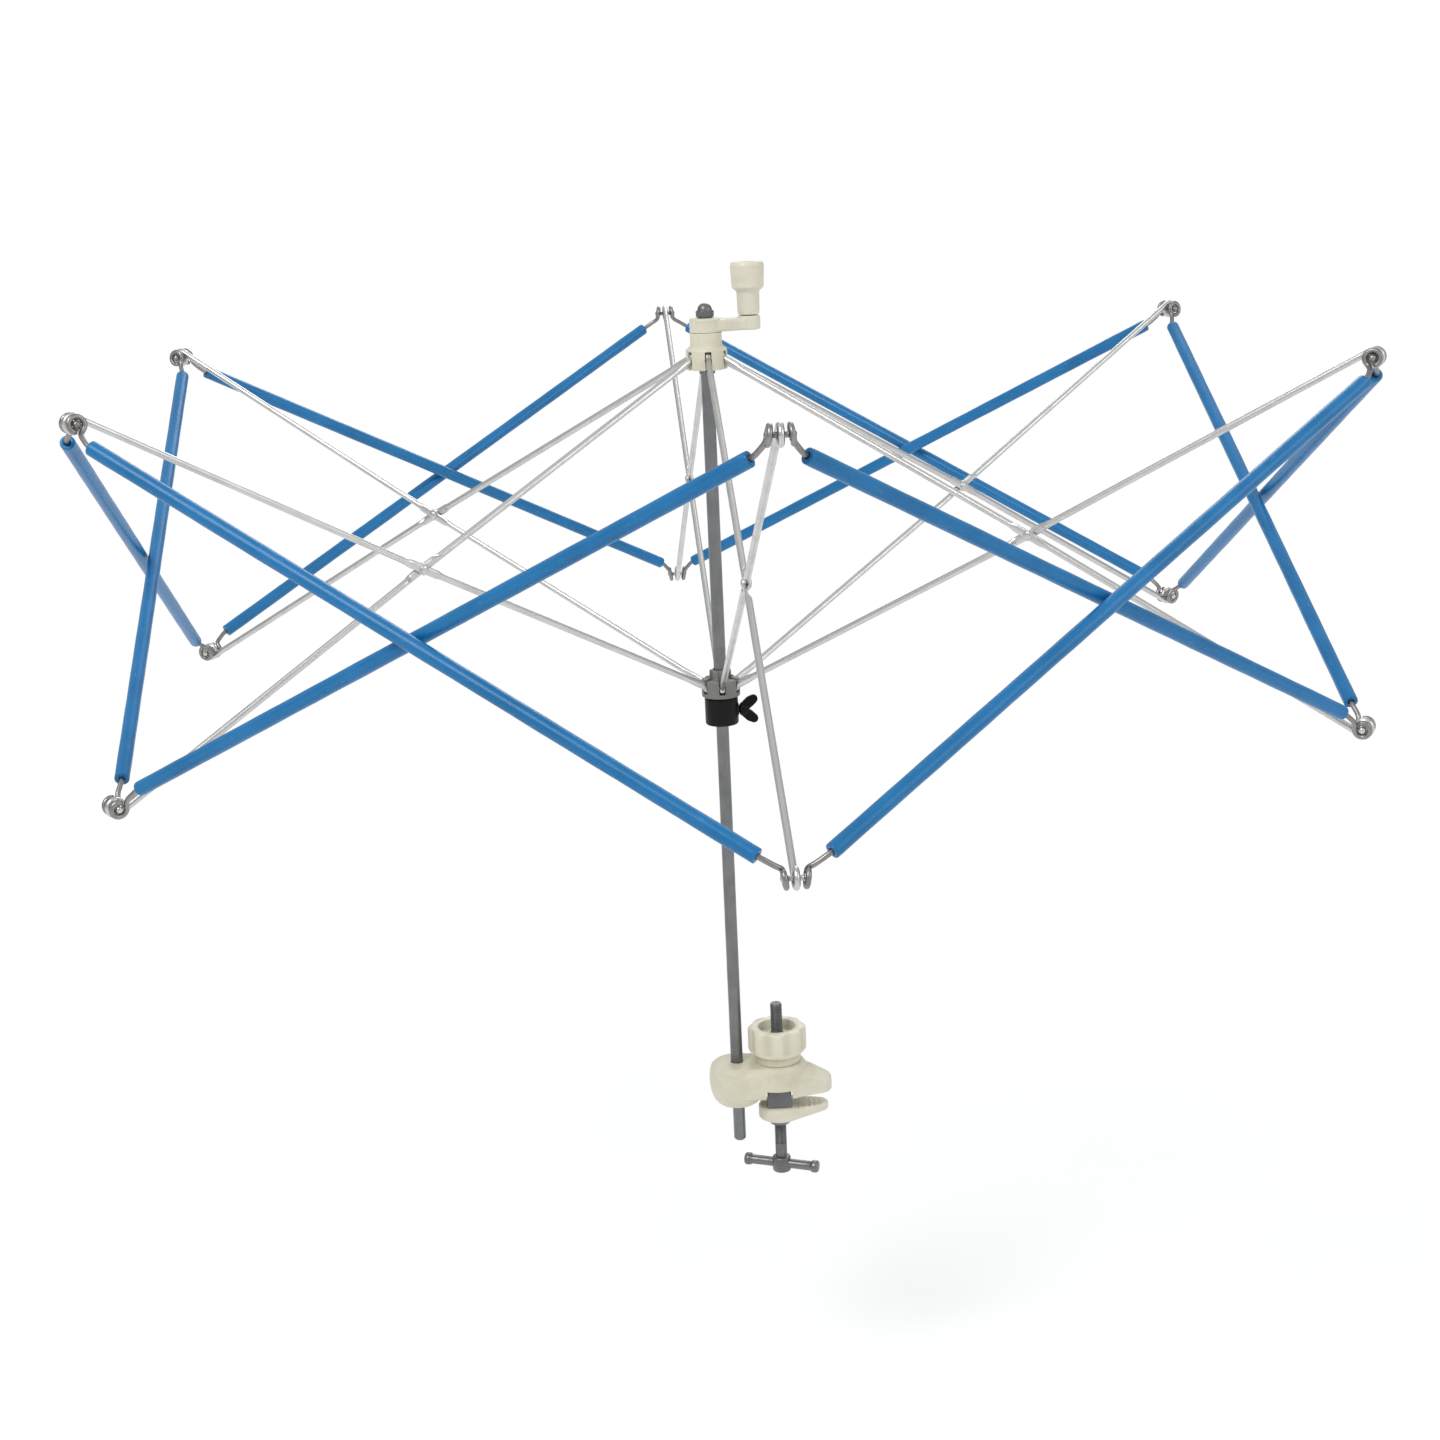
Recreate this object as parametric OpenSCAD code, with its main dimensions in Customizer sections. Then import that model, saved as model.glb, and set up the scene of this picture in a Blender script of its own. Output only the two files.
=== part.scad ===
// Umbrella yarn swift with a table clamp, in millimetres.
// The origin is the centre of the upper jaw's gripping face, Z is up, X points out along the jaws.
// Six rib pairs cross like scissors; twelve covered arms zigzag round the rim between their ends.

/* [Umbrella] */
// Length of every rib and every arm between its pivot centres, in mm
arm_length = 332.8; // [330:0.2:336]
// Height of the upper hub's pivots above the upper jaw's gripping face, in mm
upper_pivot_z = 366; // [364:0.5:368]
// Vertical distance between the two rings of hub pivots as built, in mm
pivot_spacing = 156; // [152:0.5:160]
// Turn of the first corner about the shaft, in degrees
corner_turn = -85.52; // [-90:0.01:-80]

/* [Wire] */
// Diameter of the rib wire, in mm
rib_wire_d = 3.0; // [2.8:0.1:3.0]
// Diameter of the arm wire, in mm
arm_wire_d = 2.2; // [2.0:0.1:2.2]
// Outer diameter of the sleeve over each arm, in mm
sleeve_d = 6.2; // [5.6:0.1:6.2]

/* [Shaft and hubs] */
// Diameter of the centre shaft, in mm
shaft_d = 6.0; // [5.8:0.1:6.0]
// Height of the bottom end of the shaft, in mm
shaft_bottom_z = -25; // [-28:0.5:-22]
// Outer diameter of the slotted flange of both hubs, in mm
hub_flange_d = 19.2; // [18.6:0.1:19.8]
// Distance from the shaft to the crank knob, in mm
crank_radius = 21; // [20:0.5:23]
// Direction of the crank arm about the shaft, in degrees
crank_turn = 15; // [0:1:60]

/* [Clamp] */
// Distance from the shaft to the centre of the gripping face, in mm
shaft_offset = 36; // [36:0.1:36]
// Gap between the two jaws as built, in mm
jaw_gap = 6; // [6:0.5:8]
// Distance from the shaft to the clamp screw, in mm
screw_offset = 20.5; // [20:0.1:21]
// Diameter of the clamp screw over its thread, in mm
screw_d = 5.9; // [5.6:0.1:5.9]
// Length of the sliding bar through the clamp screw, in mm
t_bar_length = 39; // [36:0.5:46]
// Turn of the T-bar about the clamp screw as built, in degrees
t_bar_turn = -21; // [-60:1:60]

/* [Hidden] */
$fn = 48;

steel = [0.55, 0.56, 0.58];
cream = [0.83, 0.82, 0.76];
blue = [0.22, 0.48, 0.66];
black = [0.09, 0.09, 0.10];
grey = [0.47, 0.48, 0.50];

// the hub pivots sit on this radius; the side offset below is what closes every arm exactly
pivot_radius = 7;
side_offset = pivot_radius / sqrt(3);
rest_angle = asin(pivot_spacing / arm_length);
rim_radius = pivot_radius + arm_length * cos(rest_angle);
lower_pivot_z = upper_pivot_z - pivot_spacing;
rib_r = rib_wire_d / 2;
arm_r = arm_wire_d / 2;
pin_r = 1.0;          // hub pins
corner_pin_r = 1.1;   // rim pins
ball_r = 1.7;         // ball ends of the rim pins
rib_eye_r = 3.0;      // middle of the rib eye's wire
arm_eye_r = 3.2;      // middle of the arm eye's wire
lap_half = 6.4;       // half length of the flattened crossing at the rivet
eye_half = 1.2;       // half thickness of the flattened hub ends
run_start = 10;       // where the covered run begins, measured along the arm
run_drop = 3.5;       // how far the covered run starts off the pivot line
run_side = 3.4;       // how far each run stands off the plane between two corners
eye_tilt = 10;        // turn of the arm eyes that shares the fold's swing both ways
shaft_top_z = 388;
hub_top_z = 384;
hub_bore_r = shaft_d / 2 + 0.25;
slot_w = 3.0;
collar_top_z = lower_pivot_z - 5.3;
collar_h = 13.5;
stud_z = collar_top_z - collar_h / 2;
body_top_z = 17;
nut_h = 18;
jaw_top_z = -jaw_gap;

module at_shaft() translate([-shaft_offset, 0, 0]) children();
module at_corner(k) at_shaft() rotate([0, 0, corner_turn + 60 * (k - 1)]) children();
module rod_x(r, a, b) translate([a, 0, 0]) rotate([0, 90, 0]) cylinder(r = r, h = b - a);
module rod_y(r, a, b) translate([0, a, 0]) rotate([-90, 0, 0]) cylinder(r = r, h = b - a);
module ring(mean_r, wire_r) rotate_extrude() translate([mean_r, 0]) circle(r = wire_r);
// a straight round bar between two points
module bar(p, q, r) {
  d = q - p;
  l = norm(d);
  translate(p) rotate([0, acos(d[2] / l), atan2(d[1], d[0])]) cylinder(r = r, h = l);
}

// ---- ribs: X along the rib from hub pivot to rim eye, Y along the pins ----
// keep = -1 leaves the near half of the wire at the crossing, +1 the far half;
// lift = +1 puts the wire above the rim eye, -1 below it
module rib_blank(keep, lift) {
  half = arm_length / 2;
  kink = atan(rib_eye_r / half);
  difference() {
    union() {
      rod_y(2.6, -eye_half, eye_half);
      difference() {
        rod_x(rib_r, 0.5, half - 2.2);
        for (s = [-1, 1]) translate([-1, s * 3.1 - 2, -5]) cube([12, 4, 10]);
        lap_cut(keep);
      }
      difference() {
        translate([half, 0, 0]) rotate([0, -lift * kink, 0]) rod_x(rib_r, 2.2, half);
        lap_cut(keep);
      }
      translate([half, 0, 0]) rod_y(2.7, keep < 0 ? -1.4 : 0.1, keep < 0 ? -0.1 : 1.4);
      intersection() {
        translate([arm_length, 0, 0]) rotate([90, 0, 0]) ring(rib_eye_r, rib_r + 0.1);
        translate([arm_length - 6, -1.3, -6]) cube([12, 2.6, 12]);
      }
    }
    rod_y(pin_r + 0.1, -5, 5);
    translate([half, 0, 0]) rod_y(keep < 0 ? 0.8 : 0.9, -5, 5);
  }
}
// the half of the wire that makes room for the other rib at the crossing
module lap_cut(keep) translate([arm_length / 2 - lap_half, keep < 0 ? -0.1 : -4.9, -5])
  cube([2 * lap_half, 5, 10]);
// the rim pin: a shank through the rib eye with a ball at each end
module rim_pin() {
  rod_y(corner_pin_r, -side_offset, side_offset);
  for (s = [-1, 1]) translate([0, s * side_offset, 0]) sphere(r = ball_r);
}
module rivet() {
  rod_y(0.75, -1.8, 1.9);
  rod_y(2.0, -2.3, -1.4);
  rod_y(2.0, 1.5, 2.4);
}
module upper_rib(k) color(steel) at_corner(k) translate([pivot_radius, 0, upper_pivot_z])
  rotate([0, rest_angle, 0]) {
    rib_blank(-1, -1);
    translate([arm_length / 2, 0, 0]) rivet();
    translate([arm_length, 0, 0]) rim_pin();
  }
module lower_rib(k) color(steel) at_corner(k) translate([pivot_radius, 0, lower_pivot_z])
  rotate([0, -rest_angle, 0]) rib_blank(1, 1);
module corner_pin(k) color(steel) at_corner(k) translate([rim_radius, 0, upper_pivot_z]) rim_pin();

// ---- arms: X along the line between the two ball centres, Z square to it and up ----
function turn_z(a, v) = [v[0] * cos(a) - v[1] * sin(a), v[0] * sin(a) + v[1] * cos(a), v[2]];
function turn_y(a, v) = [v[0] * cos(a) + v[2] * sin(a), v[1], v[2] * cos(a) - v[0] * sin(a)];
// side = +1 for the arm to the next corner, -1 for the arm to the one before
module at_arm(k, side) at_corner(k) translate([rim_radius, side * side_offset, upper_pivot_z])
  rotate([0, 0, side * 120]) rotate([0, rest_angle, 0]) children();
// arms from even corners run outside, arms from odd corners inside
function run_y(k, side) = (k % 2 == 0 ? -1 : 1) * side * run_side;
function run_point(k, side) = [run_start, run_y(k, side), -run_drop];
// where the tail leaves the eye: underneath on outer arms, a little inboard on inner arms
function tail_point(k, side) = turn_y(-rest_angle - eye_tilt, turn_z(-120 * side,
  k % 2 == 0 ? [0, 0, -arm_eye_r] : [-arm_eye_r * sin(35), 0, -arm_eye_r * cos(35)]));
module arm_half(k, side) {
  rotate([0, -rest_angle - eye_tilt, 0]) rotate([0, 0, -120 * side]) rotate([90, 0, 0])
    ring(arm_eye_r, arm_r);
  bar(tail_point(k, side), run_point(k, side), arm_r - 0.1);
  translate(run_point(k, side)) sphere(r = arm_r + 0.1);
}
module at_far_end() translate([arm_length, 0, 0]) rotate([0, 180, 0]) children();
module arm_wire(k, side) color(steel) at_arm(k, side) {
  arm_half(k, side);
  at_far_end() arm_half(k, side);
  bar(run_point(k, side), [arm_length - run_start, run_y(k, side), run_drop], arm_r);
}
module arm_sleeve(k, side) color(blue) at_arm(k, side) {
  tilt = atan(2 * run_drop / (arm_length - 2 * run_start));
  run = norm([arm_length - 2 * run_start, 2 * run_drop]);
  translate(run_point(k, side)) rotate([0, -tilt, 0]) difference() {
    rod_x(sleeve_d / 2, 1.5, run - 1.5);
    rod_x(arm_r + 0.05, 0, run);
  }
}

// ---- centre ----
module shaft() color(steel) at_shaft() {
  translate([0, 0, shaft_bottom_z + 1]) cylinder(r = shaft_d / 2, h = shaft_top_z - shaft_bottom_z - 1);
  translate([0, 0, shaft_bottom_z]) cylinder(r1 = shaft_d / 2 - 0.8, r2 = shaft_d / 2, h = 1);
  // the shoulder that carries the upper hub
  translate([0, 0, upper_pivot_z - 7.5]) cylinder(r = shaft_d / 2 + 0.7, h = 1.7);
}
module top_nut() color(steel) at_shaft() difference() {
  union() {
    translate([0, 0, hub_top_z + 0.3]) cylinder(r = 4.2, h = 3.2, $fn = 6);
    translate([0, 0, hub_top_z + 3.3]) intersection() {
      sphere(r = 3.5);
      cylinder(r = 4, h = 4);
    }
  }
  translate([0, 0, hub_top_z - 1]) cylinder(r = shaft_d / 2 - 0.1, h = shaft_top_z - hub_top_z + 1);
}
// a ring of six radial slots with a hole for a pin across each
module hub_slots(bottom, top) for (k = [1 : 6]) rotate([0, 0, corner_turn + 60 * (k - 1)]) {
  translate([4.1, -slot_w / 2, bottom]) cube([12, slot_w, top - bottom]);
  translate([pivot_radius, 0, 0]) rod_y(pin_r, -3, 3);
}
module hub_pins() for (k = [1 : 6]) rotate([0, 0, corner_turn + 60 * (k - 1)])
  translate([pivot_radius, 0, 0]) rod_y(pin_r, -2.9, 2.9);
module upper_hub() color(cream) at_shaft() translate([0, 0, upper_pivot_z]) difference() {
  union() {
    translate([0, 0, -5.5]) cylinder(r = hub_flange_d / 2, h = 9.3);
    translate([0, 0, 3.8]) cylinder(r1 = hub_flange_d / 2, r2 = 7.4, h = 1.6);
    translate([0, 0, 5.4]) cylinder(r = 7.4, h = 6.1);
  }
  translate([0, 0, -6]) cylinder(r = hub_bore_r, h = 20);
  hub_slots(-7, 3);
}
module upper_hub_pins() color(steel) at_shaft() translate([0, 0, upper_pivot_z]) hub_pins();
crank_z = upper_pivot_z + 11.5;
module crank_arm() color(cream) at_shaft() rotate([0, 0, crank_turn])
  translate([0, 0, crank_z]) difference() {
    union() {
      cylinder(r = 7.4, h = hub_top_z - crank_z);
      translate([crank_radius, 0, 0]) cylinder(r = 5.3, h = hub_top_z - crank_z);
      linear_extrude(hub_top_z - crank_z - 0.5) polygon([[0, -5.2], [crank_radius, -3.6],
        [crank_radius, 3.6], [0, 5.2]]);
    }
    translate([0, 0, -1]) cylinder(r = hub_bore_r, h = 12);
    translate([crank_radius, 0, -1]) cylinder(r = 1.5, h = 12);
  }
module crank_knob() color(cream) at_shaft() rotate([0, 0, crank_turn])
  translate([crank_radius, 0, hub_top_z + 0.4]) rotate_extrude() polygon([[1.85, 0], [5.0, 0],
    [5.2, 0.6], [5.3, 11], [7.4, 12.2], [7.9, 22.8], [7.2, 24], [3.6, 24], [3.6, 21], [1.85, 21]]);
module crank_knob_pin() color(steel) at_shaft() rotate([0, 0, crank_turn])
  translate([crank_radius, 0, 0]) {
    translate([0, 0, crank_z]) cylinder(r = 1.5, h = hub_top_z - crank_z + 21.7);
    translate([0, 0, hub_top_z + 21.7]) cylinder(r = 3.1, h = 1.6);
  }
module lower_hub() color(grey) at_shaft() translate([0, 0, lower_pivot_z]) difference() {
  union() {
    translate([0, 0, -5]) cylinder(r = hub_flange_d / 2 - 0.4, h = 8.6);
    translate([0, 0, 3.6]) cylinder(r = 5.2, h = 4.4);
  }
  translate([0, 0, -6]) cylinder(r = hub_bore_r, h = 16);
  hub_slots(-3, 10);
}
module lower_hub_pins() color(steel) at_shaft() translate([0, 0, lower_pivot_z]) hub_pins();
module stop_collar() color(black) at_shaft() translate([0, 0, collar_top_z - collar_h])
  difference() {
    union() {
      cylinder(r1 = 7.3, r2 = 8, h = 0.8);
      translate([0, 0, 0.8]) cylinder(r = 8, h = collar_h - 1.6);
      translate([0, 0, collar_h - 0.8]) cylinder(r1 = 8, r2 = 7.3, h = 0.8);
    }
    translate([0, 0, -1]) cylinder(r = shaft_d / 2 + 0.15, h = collar_h + 2);
    translate([0, 0, collar_h / 2]) rod_x(1.9, 0, 12);
  }
module thumb_screw() color(black) at_shaft() translate([0, 0, stud_z]) difference() {
  union() {
    rod_x(3.3, 8.8, 12.5);
    translate([11, -1.1, -6.2]) cube([6.6, 2.2, 12.4]);
    for (s = [-1, 1]) translate([14.3, 0, s * 3.6]) rod_y(3.3, -1.1, 1.1);
  }
  rod_x(1.75, 8, 12);
}
module thumb_screw_stud() color(steel) at_shaft() translate([0, 0, stud_z]) rod_x(1.7, 3.1, 12);

// ---- clamp: X measured from the shaft inside these modules ----
module clamp_plan(grow) {
  circle(r = 14 + grow);
  translate([screw_offset, 0]) circle(r = 14.5 + grow);
  polygon([[0, -14 - grow], [screw_offset, -14.5 - grow], [screw_offset, 14.5 + grow], [0, 14 + grow]]);
  translate([40.5, 0]) circle(r = 6.5 + grow);
  polygon([[screw_offset + 5.5, -13.4 - grow], [43.2, -5.9 - grow], [43.2, 5.9 + grow],
    [screw_offset + 5.5, 13.4 + grow]]);
}
module clamp_body() color(cream) at_shaft() difference() {
  union() {
    linear_extrude(body_top_z - 1.5) clamp_plan(0);
    translate([0, 0, body_top_z - 1.6]) linear_extrude(1.6) clamp_plan(-1);
    translate([0, 0, -5]) cylinder(r1 = 9, r2 = 13, h = 5);
  }
  // the top of the jaw falls away towards its tip
  translate([31, -20, body_top_z - 5]) rotate([0, 24, 0]) cube([40, 40, 20]);
  translate([35, -20, body_top_z - 1]) cube([40, 40, 20]);
  translate([0, 0, -6]) cylinder(r = shaft_d / 2 + 0.05, h = 30);
  translate([screw_offset, 0, 5]) cylinder(r = 3.4, h = 20);
  translate([screw_offset - 6.4, -5.9, -1]) cube([12.8, 11.8, 13.6]);
  // a slot right across the jaw, for the wide foot of the key block
  translate([screw_offset - 6.6, -20, -1.2]) cube([13.2, 40, 6.2]);
}
module clamp_scalloped_nut() color(cream) at_shaft() translate([screw_offset, 0, body_top_z])
  difference() {
    union() {
      cylinder(r = 11.2, h = 4);
      translate([0, 0, 3.5]) cylinder(r1 = 12.4, r2 = 14.5, h = 3);
      translate([0, 0, 6.5]) cylinder(r = 14.5, h = nut_h - 6.5);
    }
    for (k = [0 : 7]) rotate([0, 0, 45 * k + 22.5]) translate([17.2, 0, 3]) cylinder(r = 4.6, h = 20);
    translate([0, 0, -1]) cylinder(r = 3.05, h = nut_h + 2);
    translate([0, 0, nut_h - 4]) cylinder(r1 = 8.4, r2 = 9.4, h = 5);
  }
module jaw_plan() {
  translate([screw_offset, 0]) circle(r = 10.5);
  translate([39.5, 0]) circle(r = 5.5);
  polygon([[screw_offset + 2.5, -10.2], [41.5, -5.1], [41.5, 5.1], [screw_offset + 2.5, 10.2]]);
}
module clamp_jaw() color(cream) at_shaft() difference() {
  translate([0, 0, jaw_top_z - 7.5]) linear_extrude(7.5) jaw_plan();
  translate([25, -20, jaw_top_z - 7.5]) rotate([0, -13, 0]) translate([0, 0, -20]) cube([40, 40, 20]);
  translate([screw_offset, 0, jaw_top_z - 10]) cylinder(r = 3.25, h = 20);
  translate([screw_offset - 6.05, -8.05, jaw_top_z - 1.5]) cube([12.1, 16.1, 5]);
}
module clamp_key_block() color(grey) at_shaft() translate([screw_offset, 0, jaw_top_z]) difference() {
  union() {
    translate([-6, -5.5, -1.5]) cube([12, 11, jaw_gap + 1.5 + 12.2]);
    translate([-5.9, -8, -1.4]) cube([11.8, 16, jaw_gap + 6]);
  }
  translate([0, 0, -3]) cylinder(r = 3.25, h = 30);
}
module clamp_screw() color(steel) at_shaft() translate([screw_offset, 0, 0]) difference() {
  union() {
    translate([0, 0, jaw_top_z - 37]) cylinder(r = screw_d / 2, h = 37 + 53);
    translate([0, 0, jaw_top_z - 7.8 - 3]) cylinder(r = 5.2, h = 3);
    translate([0, 0, jaw_top_z - 37]) cylinder(r = 4.6, h = 8);
  }
  translate([0, 0, jaw_top_z - 33]) rotate([0, 0, t_bar_turn]) rod_x(2.45, -9, 9);
}
module clamp_t_bar() color(steel) at_shaft() translate([screw_offset, 0, jaw_top_z - 33])
  rotate([0, 0, t_bar_turn]) {
    rod_x(2.4, -t_bar_length / 2, t_bar_length / 2);
    for (x = [-t_bar_length / 2, t_bar_length / 2 - 3.5]) rod_x(3.1, x, x + 3.5);
  }

shaft();
top_nut();
upper_hub();
upper_hub_pins();
crank_arm();
crank_knob();
crank_knob_pin();
lower_hub();
lower_hub_pins();
stop_collar();
thumb_screw();
thumb_screw_stud();
clamp_body();
clamp_jaw();
clamp_screw();
clamp_t_bar();
clamp_scalloped_nut();
clamp_key_block();
upper_rib(1);  // upper_rib_1
upper_rib(2);  // upper_rib_2
upper_rib(3);  // upper_rib_3
upper_rib(4);  // upper_rib_4
upper_rib(5);  // upper_rib_5
upper_rib(6);  // upper_rib_6
lower_rib(1);  // lower_rib_1
lower_rib(2);  // lower_rib_2
lower_rib(3);  // lower_rib_3
lower_rib(4);  // lower_rib_4
lower_rib(5);  // lower_rib_5
lower_rib(6);  // lower_rib_6
corner_pin(1);  // corner_pin_1
corner_pin(2);  // corner_pin_2
corner_pin(3);  // corner_pin_3
corner_pin(4);  // corner_pin_4
corner_pin(5);  // corner_pin_5
corner_pin(6);  // corner_pin_6
arm_wire(1, 1);  // arm_wire_1a
arm_wire(1, -1);  // arm_wire_1b
arm_wire(2, 1);  // arm_wire_2a
arm_wire(2, -1);  // arm_wire_2b
arm_wire(3, 1);  // arm_wire_3a
arm_wire(3, -1);  // arm_wire_3b
arm_wire(4, 1);  // arm_wire_4a
arm_wire(4, -1);  // arm_wire_4b
arm_wire(5, 1);  // arm_wire_5a
arm_wire(5, -1);  // arm_wire_5b
arm_wire(6, 1);  // arm_wire_6a
arm_wire(6, -1);  // arm_wire_6b
arm_sleeve(1, 1);  // arm_sleeve_1a
arm_sleeve(1, -1);  // arm_sleeve_1b
arm_sleeve(2, 1);  // arm_sleeve_2a
arm_sleeve(2, -1);  // arm_sleeve_2b
arm_sleeve(3, 1);  // arm_sleeve_3a
arm_sleeve(3, -1);  // arm_sleeve_3b
arm_sleeve(4, 1);  // arm_sleeve_4a
arm_sleeve(4, -1);  // arm_sleeve_4b
arm_sleeve(5, 1);  // arm_sleeve_5a
arm_sleeve(5, -1);  // arm_sleeve_5b
arm_sleeve(6, 1);  // arm_sleeve_6a
arm_sleeve(6, -1);  // arm_sleeve_6b
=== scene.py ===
import math
import bpy
import bmesh
from mathutils import Matrix, Vector


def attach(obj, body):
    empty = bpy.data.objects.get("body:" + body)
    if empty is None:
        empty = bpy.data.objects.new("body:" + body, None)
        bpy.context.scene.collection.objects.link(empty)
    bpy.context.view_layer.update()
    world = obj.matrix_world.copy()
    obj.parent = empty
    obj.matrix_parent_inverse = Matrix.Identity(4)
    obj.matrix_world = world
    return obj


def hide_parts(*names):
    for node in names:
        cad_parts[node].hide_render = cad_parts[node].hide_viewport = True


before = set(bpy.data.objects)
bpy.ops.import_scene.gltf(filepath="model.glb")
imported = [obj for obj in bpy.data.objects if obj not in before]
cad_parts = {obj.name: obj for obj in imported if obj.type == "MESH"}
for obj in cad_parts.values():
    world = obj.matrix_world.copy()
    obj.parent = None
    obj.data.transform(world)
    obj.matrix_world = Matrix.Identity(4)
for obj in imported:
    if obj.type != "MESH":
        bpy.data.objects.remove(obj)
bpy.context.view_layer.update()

scene = bpy.context.scene
MM = 0.001
TAU = 2 * math.pi

# ---------------------------------------------------------------- sizes, in mm, as in the CAD
LENGTH = 332.8                        # each rib and arm, from pivot to pivot
HALF = LENGTH / 2                     # where two ribs cross
SPACING = 156.0                       # between the rim's two rings, and between the two hubs
TOP_Z = 366.0                         # pivots of the upper hub and the upper ring
LOW_Z = TOP_Z - SPACING               # pivots of the lower hub and the lower ring
SHAFT_X = -36.0
SHAFT_R = 3.0
SHAFT_FOOT_Z, SHAFT_TOP_Z = -25, 388
TURN = -85.52                         # degrees from +X to corner 1
REST = math.asin(SPACING / LENGTH)    # slope of the ribs and arms at rest
HUB_R = 7.0                           # hub pivots, from the shaft's axis
HUB_BORE_R = 3.28
RIM_R = HUB_R + LENGTH * math.cos(REST)
SIDE = HUB_R / math.sqrt(3)           # arm pivots, to each side of a corner's middle
RIB_WIRE_R, ARM_WIRE_R = 1.5, 1.1
RIB_EYE_R, ARM_EYE_R = 3.0, 3.2
EYE_TILT = math.radians(10)
RUN_START, RUN_ASIDE, RUN_DROP = 10, 3.4, 3.5   # where an arm's covered run starts, from its pivot
SLEEVE_R, SLEEVE_BORE_R = 3.1, 1.2
CRANK_Z, CRANK_TOP_Z = 377.5, 384
CRANK_REACH = 21                      # knob, from the shaft
SCREW_X = 20.5                        # clamp screw, from the shaft
BODY_TOP_Z = 17                       # clamp body
JAW_TOP_Z = -6
JAW_TIP_X = 39.5
KEY_HALF_X = 6.05                     # half the pocket that holds the key block
CHANNEL_HALF_X = 6.6                  # half the slot across the upper jaw
T_BAR_TURN = -21


def T(x, y, z):
    return Matrix.Translation(Vector((x, y, z)))


def R(deg, axis):
    return Matrix.Rotation(math.radians(deg), 4, axis)


AT_SHAFT = T(SHAFT_X, 0, 0)


def corner(k):
    """The frame of corner k, 1 to 6: its X axis points from the shaft to the corner."""
    return AT_SHAFT @ R(TURN + 60 * (k - 1), "Z")


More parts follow.
